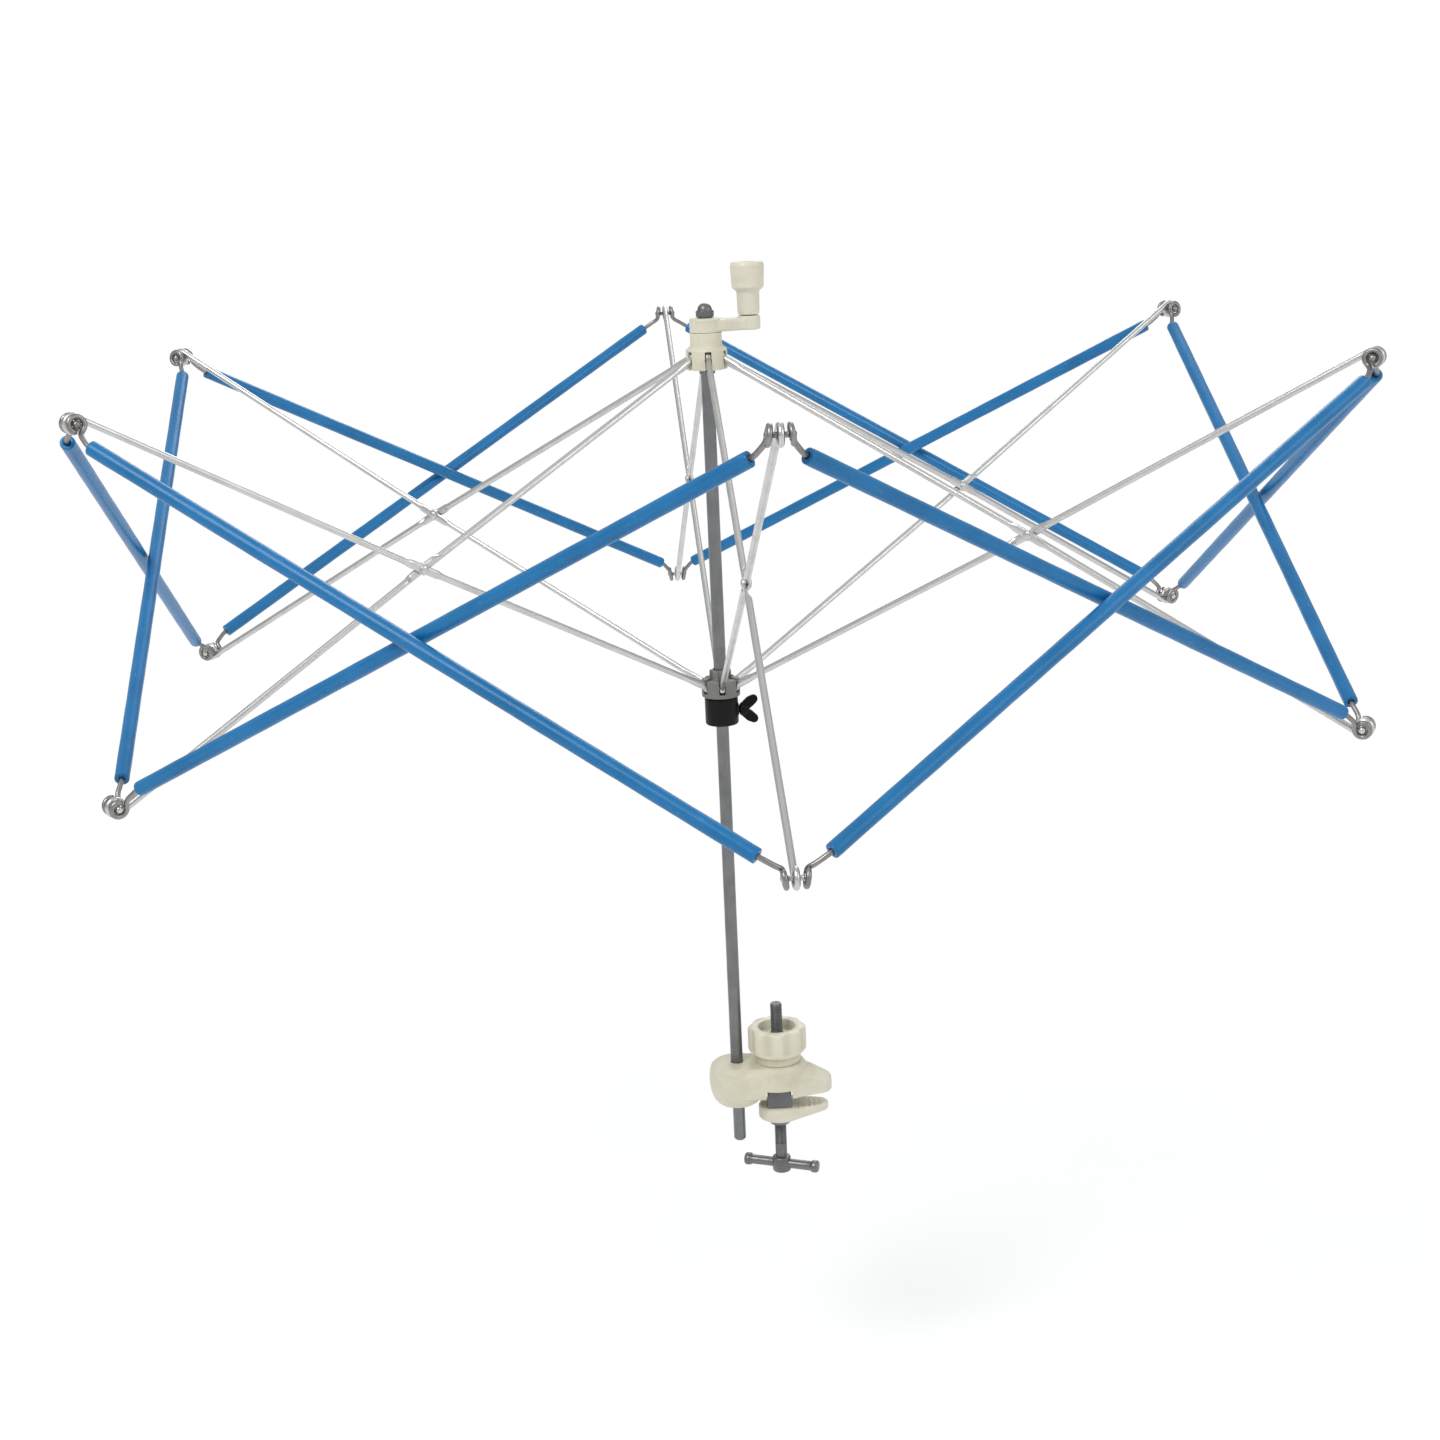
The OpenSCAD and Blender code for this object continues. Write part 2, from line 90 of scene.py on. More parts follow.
# ---------------------------------------------------------------- mesh building
class Shape:
    """Collects surfaces in mm and turns them into one mesh object."""

    def __init__(self):
        self.v, self.f, self.uv = [], [], []

    def rows(self, rows, m=None, closed=False, ucirc=None):
        """A surface through equal rings of points, capped unless closed.
        u runs round and v along, in units of 10 mm."""
        m = m or Matrix.Identity(4)
        base, n = len(self.v), len(rows[0])
        length, along = 0.0, []
        for i, ring in enumerate(rows):
            if i:
                length += sum((Vector(ring[j]) - Vector(rows[i - 1][j])).length for j in (0, n // 2)) / 2
            along.append(length / 10)
            self.v += [m @ Vector(p) for p in ring]
        circ = ucirc or sum((Vector(rows[0][j]) - Vector(rows[0][(j + 1) % n])).length for j in range(n)) or 10
        circ = max(circ, 1.0) / 10
        count = len(rows)
        for i in range(count if closed else count - 1):
            a, b = base + i * n, base + ((i + 1) % count) * n
            va, vb = along[i], along[i + 1] if i + 1 < count else along[-1] + 0.1
            for j in range(n):
                k = (j + 1) % n
                ua, ub = circ * j / n, circ * (j + 1) / n
                self.f.append([a + j, a + k, b + k, b + j])
                self.uv.append([(ua, va), (ub, va), (ub, vb), (ua, vb)])
        if not closed:
            for i in (0, count - 1):
                face = [base + i * n + j for j in range(n)]
                if i == 0:
                    face.reverse()
                self.f.append(face)
                self.uv.append([(0.5, along[i])] * n)

    def lathe(self, profile, m=None, sides=48, closed=False):
        """Turns (radius, height) points about Z. Open profiles are capped at both ends."""
        prof = [(max(r, 1e-3), z) for r, z in profile]
        self.rows([ring(lambda j: r, z, sides) for r, z in prof], m, closed=closed,
                  ucirc=TAU * max(r for r, _ in prof))

    def tube(self, path, half, m=None, sides=18, binormal=None):
        """Sweeps an ellipse. half is (in plane, across, shift across) for each point of the path."""
        pts = [Vector(p) for p in path]
        count = len(pts)
        tang = [(pts[min(i + 1, count - 1)] - pts[max(i - 1, 0)]).normalized() for i in range(count)]
        if binormal is None:
            n = tang[0].orthogonal().normalized()
        rows = []
        for i in range(count):
            if binormal is not None:
                b = Vector(binormal)
                n = b.cross(tang[i]).normalized()
            else:
                n = (n - tang[i] * n.dot(tang[i])).normalized()
                b = tang[i].cross(n)
            ra, rb, shift = half[i]
            rows.append([pts[i] + n * (ra * math.cos(-TAU * j / sides)) * -1
                         + b * (rb * math.sin(-TAU * j / sides) + shift) for j in range(sides)])
        # the rings turn with the path's direction, so that the faces look outward
        a, c = rows[0][1] - pts[0], rows[0][2] - pts[0]
        if binormal is not None:
            a, c = rows[0][1] - rows[0][0], rows[0][2] - rows[0][1]
        if a.cross(c).dot(tang[0]) < 0:
            rows = [loop[::-1] for loop in rows]
        self.rows(rows, m, ucirc=TAU * 1.5)

    def block(self, inset_outline, z0, z1, edge, m=None, steps=3):
        """A slab whose outline comes from a function of its inset, with rounded edges."""
        low = []  # from the bottom face out to the side wall
        for i in range(steps, -1, -1):
            a = math.pi / 2 * i / steps
            z = z0 + edge * (1 - math.sin(a))
            low.append([(x, y, z) for x, y in inset_outline(edge * (1 - math.cos(a)))])
        high = [[(x, y, z1 - (p[0][2] - z0)) for x, y, _ in p] for p in low[::-1]]
        self.rows(low + high, m)

    def prism(self, x0, x1, half_y, z0, z1, m=None):
        outline = [(x0, -half_y), (x1, -half_y), (x1, half_y), (x0, half_y)]
        self.rows([[(x, y, z) for x, y in outline] for z in (z0, z1)], m)

    def hull(self, points):
        """Adds the convex hull of points, as a closed piece."""
        bm = bmesh.new()
        for p in points:
            bm.verts.new(p)
        bmesh.ops.convex_hull(bm, input=bm.verts)
        loose = [v for v in bm.verts if not v.link_faces]
        bmesh.ops.delete(bm, geom=loose, context="VERTS")
        bm.verts.index_update()
        base = len(self.v)
        self.v += [v.co.copy() for v in bm.verts]
        for f in bm.faces:
            self.f.append([base + v.index for v in f.verts])
            self.uv.append([(0, 0)] * len(f.verts))
        bm.free()

    def build(self, name, mats, smooth=45):
        me = bpy.data.meshes.new(name)
        me.from_pydata([v * MM for v in self.v], [], self.f)
        layer = me.uv_layers.new(name="UVMap")
        for i, uv in enumerate(uv for face in self.uv for uv in face):
            layer.data[i].uv = uv
        for mat in mats:
            me.materials.append(mat)
        me.polygons.foreach_set("use_smooth", [True] * len(me.polygons))
        me.update()
        o = bpy.data.objects.new(name, me)
        scene.collection.objects.link(o)
        if smooth:
            sharp_by_angle(me, smooth)
        return o


def ring(radius, z, sides):
    """A ring of points at height z; radius is a function of the point's number."""
    return [(radius(j) * math.cos(TAU * j / sides), radius(j) * math.sin(TAU * j / sides), z)
            for j in range(sides)]


def sharp_by_angle(me, deg):
    """Marks the edges that bend more than deg as sharp."""
    bm = bmesh.new()
    bm.from_mesh(me)
    limit = math.radians(deg)
    for e in bm.edges:
        if len(e.link_faces) == 2 and e.calc_face_angle(0) > limit:
            e.smooth = False
    bm.to_mesh(me)
    bm.free()


def put(o, body, nodes):
    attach(o, body)
    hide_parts(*nodes)


def arc_corners(points, steps=5, closed=False):
    """Rounds the corners of (x, y, radius) points into a list of (x, y)."""
    out, n = [], len(points)
    for i, (x, y, r) in enumerate(points):
        if r <= 0 or (not closed and i in (0, n - 1)):
            out.append((x, y))
            continue
        p = Vector((x, y))
        a = Vector(points[i - 1][:2]) - p
        b = Vector(points[(i + 1) % n][:2]) - p
        la, lb = a.length, b.length
        a.normalize()
        b.normalize()
        ang = math.acos(max(-1, min(1, a.dot(b))))
        if ang > math.pi - 1e-3 or ang < 1e-3:
            out.append((x, y))
            continue
        cut = min(r / math.tan(ang / 2), la * 0.48, lb * 0.48)  # each edge keeps a straight part
        rr = cut * math.tan(ang / 2)
        centre = p + (a + b).normalized() * (rr / math.sin(ang / 2))
        s, e = p + a * cut - centre, p + b * cut - centre
        sweep = math.acos(max(-1, min(1, s.dot(e) / (s.length * e.length))))
        for k in range(steps + 1):
            t = k / steps
            w1 = math.sin((1 - t) * sweep) / math.sin(sweep)
            w2 = math.sin(t * sweep) / math.sin(sweep)
            q = centre + s * w1 + e * w2
            out.append((q.x, q.y))
    return out


def two_circles(c0, r0, c1, r1, n=48):
    """The outline round two circles on the X axis, as a function of inset."""
    def outline(inset):
        a, b = r0 - inset, r1 - inset
        lean = math.asin((r0 - r1) / (c1 - c0))
        pts = []
        for i in range(n // 2 + 1):
            t = -math.pi / 2 + lean + (math.pi - 2 * lean) * i / (n // 2)
            pts.append((c1 + b * math.cos(t), b * math.sin(t)))
        for i in range(n // 2 + 1):
            t = math.pi / 2 - lean + (math.pi + 2 * lean) * i / (n // 2)
            pts.append((c0 + a * math.cos(t), a * math.sin(t)))
        return pts
    return outline


def rounded_box(cx, hx, hy, r, n=6):
    """The outline of a rectangle with round corners, as a function of inset."""
    def outline(inset):
        a, b, q = hx - inset, hy - inset, max(r - inset, 0.05)
        pts = []
        for sx, sy, a0 in ((1, 1, 0), (-1, 1, 90), (-1, -1, 180), (1, -1, 270)):
            for i in range(n + 1):
                t = math.radians(a0 + 90 * i / n)
                pts.append((cx + sx * (a - q) + q * math.cos(t), sy * (b - q) + q * math.sin(t)))
        return pts
    return outline


def bezier(a, b, c, d, n):
    out = []
    for i in range(n + 1):
        t = i / n
        out.append(a * (1 - t) ** 3 + b * (3 * t * (1 - t) ** 2) + c * (3 * t * t * (1 - t)) + d * t ** 3)
    return out


def smoothstep(a, b, x):
    t = max(0.0, min(1.0, (x - a) / (b - a)))
    return t * t * (3 - 2 * t)


def disc_points(x, r, z0, z1, n=40):
    """Two rings of points round (x, 0), at z0 and z1."""
    return [(x + r * math.cos(TAU * i / n), r * math.sin(TAU * i / n), z)
            for i in range(n) for z in (z0, z1)]


def moulded(name, solid, cuts, mat, voxel, rounds, late_cuts=None, at=(0, 0, 0)):
    """Fuses closed pieces at a fine voxel size and softens every edge, as a moulding's are.
    cuts are taken out before the softening, late_cuts after it. The work is done in mm,
    about the origin, and the result is moved to at."""
    o = solid.build(name, [mat], smooth=0)
    o.data.transform(Matrix.Scale(1000, 4))

    def run():
        dg = bpy.context.evaluated_depsgraph_get()
        new = bpy.data.meshes.new_from_object(o.evaluated_get(dg))
        o.modifiers.clear()
        old = o.data
        o.data = new
        bpy.data.meshes.remove(old)

    def fuse():
        mod = o.modifiers.new("fuse", "REMESH")
        mod.mode, mod.voxel_size, mod.adaptivity = "VOXEL", voxel, 0.0
        run()

    def cut(shape, tag):
        c = shape.build(name + tag, [], smooth=0)
        c.data.transform(Matrix.Scale(1000, 4))
        mod = o.modifiers.new("cut", "BOOLEAN")
        mod.operation, mod.object, mod.solver = "DIFFERENCE", c, "EXACT"
        run()
        bpy.data.objects.remove(c)

    fuse()
    if cuts:
        cut(cuts, "_cut")
        fuse()
    mod = o.modifiers.new("soft", "SMOOTH")
    mod.factor, mod.iterations = 0.5, rounds
    run()
    if late_cuts:
        cut(late_cuts, "_late")
    o.data.transform(Matrix.Scale(MM, 4))
    o.data.materials.clear()
    o.data.materials.append(mat)
    o.data.polygons.foreach_set("use_smooth", [True] * len(o.data.polygons))
    o.data.name = name
    sharp_by_angle(o.data, 50)
    o.data.transform(Matrix.Translation(Vector(at) * MM))
    return o


# ---------------------------------------------------------------- materials
def new_material(name):
    m = bpy.data.materials.new(name)
    m.use_nodes = True
    nt = m.node_tree
    nt.nodes.clear()
    out = nt.nodes.new("ShaderNodeOutputMaterial")
    bsdf = nt.nodes.new("ShaderNodeBsdfPrincipled")
    nt.links.new(bsdf.outputs[0], out.inputs[0])
    return m, nt, bsdf


def node(nt, kind, **values):
    n = nt.nodes.new(kind)
    for k, v in values.items():
        setattr(n, k, v)
    return n


def coords(nt, which, scale=(1, 1, 1), loc=(0, 0, 0)):
    tc = node(nt, "ShaderNodeTexCoord")
    mp = node(nt, "ShaderNodeMapping")
    mp.inputs["Scale"].default_value = scale
    mp.inputs["Location"].default_value = loc
    nt.links.new(tc.outputs[which], mp.inputs[0])
    return mp.outputs[0]


def noise(nt, vec, scale, detail, rough, distortion=0.0):
    n = node(nt, "ShaderNodeTexNoise")
    n.inputs["Scale"].default_value = scale
    n.inputs["Detail"].default_value = detail
    n.inputs["Roughness"].default_value = rough
    n.inputs["Distortion"].default_value = distortion
    nt.links.new(vec, n.inputs["Vector"])
    return n.outputs[0]


def ramp(nt, fac, stops):
    n = node(nt, "ShaderNodeValToRGB")
    el = n.color_ramp.elements
    while len(el) < len(stops):
        el.new(0.5)
    for e, (pos, col) in zip(el, stops):
        e.position = pos
        e.color = (*col, 1) if isinstance(col, tuple) else (col, col, col, 1)
    nt.links.new(fac, n.inputs[0])
    return n.outputs[0]


def fill(nt, n, sockets):
    """Links each socket to a value that is an output, or sets it to a number or a colour."""
    for s, v in sockets:
        if hasattr(v, "links"):
            nt.links.new(v, n.inputs[s])
        else:
            n.inputs[s].default_value = (*v, 1) if isinstance(v, tuple) else v


def mix(nt, fac, a, b):
    """Mixes the colours a and b; 0, 6, 7 and 2 are the Mix node's colour sockets."""
    n = node(nt, "ShaderNodeMix", data_type="RGBA", blend_type="MIX")
    fill(nt, n, ((0, fac), (6, a), (7, b)))
    return n.outputs[2]


def math_node(nt, op, a, b):
    n = node(nt, "ShaderNodeMath", operation=op)
    fill(nt, n, ((0, a), (1, b)))
    return n.outputs[0]


def times(nt, a, b):
    return math_node(nt, "MULTIPLY", a, b)


def roughness(nt, bsdf, base, terms):
    """Sets the roughness to base plus each (value, weight) of terms."""
    total = base
    for value, weight in terms:
        out = math_node(nt, "MULTIPLY_ADD", value, weight)
        fill(nt, out.node, ((2, total),))
        total = out
    nt.links.new(total, bsdf.inputs["Roughness"])


def bump(nt, bsdf, height, strength, distance):
    n = node(nt, "ShaderNodeBump")
    n.inputs["Strength"].default_value = strength
    n.inputs["Distance"].default_value = distance
    nt.links.new(height, n.inputs["Height"])
    nt.links.new(n.outputs[0], bsdf.inputs["Normal"])


def srgb(r, g, b):
    """Linear colour from an sRGB one of 0 to 255."""
    return tuple(((c / 255) / 12.92 if c / 255 <= 0.04045 else ((c / 255 + 0.055) / 1.055) ** 2.4)
                 for c in (r, g, b))


def scaled(c, k, lift=0.0):
    return tuple(min(1.0, x * k + lift) for x in c)


def wire_metal(name, base, rough, tarnish):
    """Drawn metal: fine lines along the piece, dull blotches and a few darker specks."""
    m, nt, b = new_material(name)
    lines = noise(nt, coords(nt, "UV", (26, 0.35, 1)), 1.0, 3, 0.6)
    blot = noise(nt, coords(nt, "Object"), 95, 5, 0.6, 0.4)
    speck = noise(nt, coords(nt, "Object", loc=(3, 1, 2)), 900, 3, 0.7)
    col = ramp(nt, lines, [(0.25, scaled(base, 0.86)), (0.75, scaled(base, 1.08))])
    dull = ramp(nt, blot, [(0.42, 0.0), (0.74, 1.0)])
    col = mix(nt, times(nt, dull, tarnish), col, scaled(base, 0.55))
    spots = ramp(nt, speck, [(0.70, 0.0), (0.78, 1.0)])
    col = mix(nt, times(nt, spots, 0.35), col, scaled(base, 0.35))
    nt.links.new(col, b.inputs["Base Color"])
    b.inputs["Metallic"].default_value = 1.0
    roughness(nt, b, rough - 0.07, [(lines, 0.14), (dull, 0.16)])
    bump(nt, b, math_node(nt, "ADD", lines, times(nt, blot, 0.4)), 0.35, 0.00006)
    return m


def sleeve_vinyl(name, base):
    """Soft extruded tube: faint lengthwise draw lines, handling scuffs and slightly uneven colour."""
    m, nt, b = new_material(name)
    draw = noise(nt, coords(nt, "UV", (7, 0.12, 1)), 1.0, 3, 0.5)
    cloud = noise(nt, coords(nt, "Object"), 42, 4, 0.55, 0.3)
    scuff = noise(nt, coords(nt, "UV", (2.2, 0.55, 1), (4, 2, 0)), 3.2, 5, 0.7, 0.8)
    col = ramp(nt, cloud, [(0.28, scaled(base, 0.82)), (0.5, base), (0.75, scaled(base, 1.12, 0.004))])
    col = mix(nt, times(nt, ramp(nt, draw, [(0.35, 0.0), (0.7, 1.0)]), 0.25), col, scaled(base, 1.3))
    worn = ramp(nt, scuff, [(0.60, 0.0), (0.72, 1.0)])
    col = mix(nt, times(nt, worn, 0.22), col, (0.30, 0.47, 0.60))
    nt.links.new(col, b.inputs["Base Color"])
    roughness(nt, b, 0.24, [(cloud, 0.16), (worn, 0.18)])
    b.inputs["IOR"].default_value = 1.52
    b.inputs["Specular IOR Level"].default_value = 0.28
    b.inputs["Coat Weight"].default_value = 0.06
    b.inputs["Coat Roughness"].default_value = 0.15
    bump(nt, b, math_node(nt, "ADD", times(nt, draw, 0.8), times(nt, scuff, 0.5)), 0.35, 0.00012)
    return m


def moulded_plastic(name, base, rough, stain_and_shade, grain=1.0, wear=None, coat=0.0, specular=0.5, metallic=0.0):
    """Injection-moulded plastic: fine grain, flow blotches, stain blotches, paler worn edges, and painted shade that
    darkens the hollows.
    """
    m, nt, b = new_material(name)
    flow = noise(nt, coords(nt, "Object", (1, 1, 1.6)), 70, 5, 0.6, 0.6)
    broad = noise(nt, coords(nt, "Object", loc=(7, 3, 1)), 28, 3, 0.5, 0.4)
    fine = noise(nt, coords(nt, "Object"), 2600, 2, 0.6)
    scratch = noise(nt, coords(nt, "Object", (1.0, 0.12, 1.0), (1, 5, 2)), 650, 3, 0.7, 0.5)
    col = ramp(nt, flow, [(0.25, scaled(base, 0.86)), (0.52, base), (0.8, scaled(base, 1.06))])
    col = mix(nt, times(nt, ramp(nt, broad, [(0.42, 0.0), (0.72, 1.0)]), 0.55), col, stain_and_shade)
    scr = ramp(nt, scratch, [(0.70, 0.0), (0.76, 1.0)])
    col = mix(nt, times(nt, scr, 0.18), col, scaled(base, 0.55))
    geo = node(nt, "ShaderNodeNewGeometry")
    edge = ramp(nt, geo.outputs["Pointiness"], [(0.505, 0.0), (0.545, 1.0)])
    # painted shade: hollows (low pointiness) are darkened towards a darker copy of the stain colour, standing in for
    # the shade that falls in them
    hollow_shade_mask = ramp(nt, geo.outputs["Pointiness"], [(0.455, 1.0), (0.495, 0.0)])
    col = mix(nt, times(nt, edge, 0.35), col, wear or scaled(base, 1.15, 0.03))
    col = mix(nt, times(nt, hollow_shade_mask, 0.45), col, scaled(stain_and_shade, 0.55))
    nt.links.new(col, b.inputs["Base Color"])
    roughness(nt, b, rough - 0.1, [(flow, 0.2), (edge, -0.12)])
    b.inputs["IOR"].default_value = 1.49
    b.inputs["Coat Weight"].default_value = coat
    b.inputs["Specular IOR Level"].default_value = specular
    b.inputs["Metallic"].default_value = metallic
    h = math_node(nt, "ADD", times(nt, fine, 0.6 * grain), times(nt, scr, -0.5))
    bump(nt, b, math_node(nt, "ADD", h, times(nt, flow, 1.2)), 0.3, 0.00008)
    return m


RIB = wire_metal("rib_wire_steel", srgb(205, 205, 203), 0.30, 0.3)
ARM_WIRE = wire_metal("arm_wire_steel", srgb(150, 148, 146), 0.34, 0.5)
ROD = wire_metal("shaft_steel", srgb(125, 126, 127), 0.34, 0.35)
SCREW = wire_metal("screw_steel", srgb(124, 124, 125), 0.36, 0.45)
BLUE = sleeve_vinyl("blue_sleeve", srgb(18, 104, 158))
CREAM = moulded_plastic("cream_plastic", srgb(208, 204, 186), 0.48, srgb(190, 184, 150), coat=0.05)
GREY = moulded_plastic("grey_plastic", srgb(116, 116, 113), 0.5, srgb(90, 90, 85))
BLACK = moulded_plastic("black_plastic", srgb(12, 12, 13), 0.42, srgb(6, 6, 7), 1.2,
                        wear=srgb(48, 48, 50), specular=0.14)
KEY_GREY = moulded_plastic("grey_key_metal", srgb(112, 113, 114), 0.44, srgb(84, 84, 82), 1.4,
                           wear=srgb(160, 160, 158), metallic=0.55)

# ---------------------------------------------------------------- camera at the photograph's angle
CAMERA_PLACE = (-0.036, -1.06423, 0.46092)
YAW, PITCH, ROLL = math.radians(-0.058), math.radians(14.137), -0.0432
SENSOR = 36                          # mm
FOCAL_PER_FRAME = 2281.6 / 1440      # focal length, in widths of the frame

forward = Vector((math.sin(YAW) * math.cos(PITCH), math.cos(YAW) * math.cos(PITCH), -math.sin(PITCH)))
level = Vector((math.cos(YAW), -math.sin(YAW), 0))
upright = level.cross(forward)
cam_right = level * math.cos(ROLL) + upright * math.sin(ROLL)
cam_up = upright * math.cos(ROLL) - level * math.sin(ROLL)
cam_data = bpy.data.cameras.new("camera")
cam_data.sensor_width = SENSOR
cam_data.lens = SENSOR * FOCAL_PER_FRAME
cam_data.clip_start, cam_data.clip_end = 0.05, 60
cam = bpy.data.objects.new("camera", cam_data)
scene.collection.objects.link(cam)
cam.matrix_world = (Matrix.Translation(Vector(CAMERA_PLACE))
                    @ Matrix((cam_right, cam_up, -forward)).transposed().to_4x4())
scene.camera = cam

# ---------------------------------------------------------------- ribs
# Each rib lies along X from its hub pin, and is pressed flat at the hub and where it crosses the other.
HUB_STEPS = [1.6, 3, 5, 7.5, 9, 10.5, 12, 13.5, 20] + [20 + 8.6 * i for i in range(1, 17)]
LAP_STEPS = [1.2, 3.5, 5.5, 6.5, 7.3, 8.2, 9, 9.8, 11.5]
LAP_REACH = 12                       # half the part of the path that LAP_STEPS covers
EYE_START = 8                        # the last step ends this far before the rim pin
LAP_GAP, LAP_FACE = 0.12, 1.4        # the crossing's pad, across the wire


def rib_section(x, keep):
    w = smoothstep(9.8, 6.5, abs(x - HALF))
    h = smoothstep(13.0, 7.5, x)
    return (RIB_WIRE_R + 0.45 * w + 0.35 * h, RIB_WIRE_R - 0.84 * w - 0.38 * h, keep * 0.78 * w)


def rib_shape(shape, keep, m):
    """A rib wire. keep is the side of the crossing that it passes on, and the way that its eye turns."""
    xs = [x for x in HUB_STEPS if x < HALF - LAP_REACH]
    xs += [HALF - d for d in LAP_STEPS[::-1]] + [HALF] + [HALF + d for d in LAP_STEPS]
    xs += [HALF + LAP_REACH + (LENGTH - EYE_START - HALF - LAP_REACH) * i / 16 for i in range(1, 17)]
    path = [(x, 0, 0.0 if x <= HALF else keep * RIB_EYE_R * (x - HALF) / HALF) for x in xs]
    section = [rib_section(x, keep) for x in xs]
    n = 30
    for i in range(n + 1):
        a = math.radians(292) * i / n
        path.append((LENGTH + RIB_EYE_R * math.sin(a), 0, keep * RIB_EYE_R * math.cos(a)))
        f = smoothstep(0, 0.25, i / n)
        section.append((RIB_WIRE_R - 0.02 * f, RIB_WIRE_R - 0.2 * f, 0.0))
    shape.tube(path, section, m, sides=20, binormal=(0, 1, 0))
    # flattened hub eye, a ring round the hub pin
    shape.lathe(arc_corners([(1.12, -1.1, .15), (2.6, -1.1, .35), (2.6, 1.1, .35), (1.12, 1.1, .15)], 3, True),
                m @ R(-90, "X"), 32, closed=True)
    # flattened pad at the crossing
    y0, y1 = (-LAP_FACE, -LAP_GAP) if keep < 0 else (LAP_GAP, LAP_FACE)
    shape.lathe(arc_corners([(0, y0, 0), (2.7, y0, .4), (2.7, y1, .4), (0, y1, 0)], 4),
                m @ T(HALF, 0, 0) @ R(-90, "X"), 36)


def rivet_shape(shape, m):
    near = [(0, -2.32), (0.5, -2.3), (1.1, -2.21), (1.6, -2.02), (1.9, -1.75), (2.0, -1.52), (2.0, -1.38),
            (0.78, -1.36)]
    far = [(0.78, 1.5), (2.0, 1.5), (2.0, 1.62), (1.9, 1.85), (1.6, 2.12), (1.1, 2.31), (0.5, 2.4), (0, 2.42)]
    shape.lathe(near + far, m @ T(HALF, 0, 0) @ R(-90, "X"), 32)


def rim_pin_shape(shape, m):
    """A pin along Y with a ball at each end, where the arms' eyes hang."""
    ball, pin = 1.7, 1.1
    prof = [(0, -SIDE - ball)]
    for i in range(1, 12):
        a = math.radians(-90 + 9.6 * i * 1.27)
        prof.append((ball * math.cos(a), -SIDE + ball * math.sin(a)))
    prof = [p for p in prof if not (p[1] > -SIDE and p[0] < 1.12)]
    prof += [(pin, -SIDE + 1.32), (pin, -1.6), (pin, 0)]
    shape.lathe(prof + [(r, -y) for r, y in prof[-2::-1]], m @ R(-90, "X"), 24)


for k in range(1, 7):
    s = Shape()
    m = corner(k) @ T(HUB_R, 0, TOP_Z) @ Matrix.Rotation(REST, 4, "Y")
    rib_shape(s, -1, m)
    rivet_shape(s, m)
    rim_pin_shape(s, m @ T(LENGTH, 0, 0))
    put(s.build(f"upper_rib_wire_{k}", [RIB]), f"upper_rib_{k}", [f"upper_rib_{k}"])
    s = Shape()
    rib_shape(s, 1, corner(k) @ T(HUB_R, 0, LOW_Z) @ Matrix.Rotation(-REST, 4, "Y"))
    put(s.build(f"lower_rib_wire_{k}", [RIB]), f"lower_rib_{k}", [f"lower_rib_{k}"])
    s = Shape()
    rim_pin_shape(s, corner(k) @ T(RIM_R, 0, TOP_Z))
    put(s.build(f"rim_pin_{k}_steel", [ARM_WIRE]), f"rim_pin_{k}", [f"corner_pin_{k}"])


# ---------------------------------------------------------------- arms
def arm_end_path(k, side):
    """From the open end of the eye, round it and down to where the covered run starts."""
    odd = k % 2 == 1
    tail = math.radians(35 if odd else 0)
    run = Vector((RUN_START, (1 if odd else -1) * side * RUN_ASIDE, -RUN_DROP))

    def on_eye(a):
        # a = 0 is where the tail leaves, and grows round the eye
        p = Vector((-ARM_EYE_R * math.sin(tail + a), 0, -ARM_EYE_R * math.cos(tail + a)))
        p = Matrix.Rotation(math.radians(-120 * side), 3, "Z") @ p
        return Matrix.Rotation(-REST - EYE_TILT, 3, "Y") @ p

    n = 40
    start, stop = math.radians(345), math.radians(42)
    pts = [on_eye(start + (stop - start) * i / n) for i in range(n + 1)]
    p = on_eye(0)
    d = (run - p).normalized()
    tangent = (pts[-1] - pts[-2]).normalized()
    join = p + d * 4.0
    pts += bezier(pts[-1], pts[-1] + tangent * 1.9, join - d * 2.6, join, 10)[1:]
    return pts, run, d


def other_end(points):
    """The same points at the arm's other end, which is half a turn round in its own plane."""
    return [Vector((LENGTH - p.x, p.y, -p.z)) for p in reversed(points)]


# one end of a sleeve: its cut edge, with the bore open round the wire
SLEEVE_END = [(SLEEVE_BORE_R, 4.0), (SLEEVE_BORE_R, 2.2), (1.45, 1.62), (1.9, 1.52), (2.7, 1.5), (2.98, 1.62),
              (3.07, 1.86), (SLEEVE_R, 2.3)]

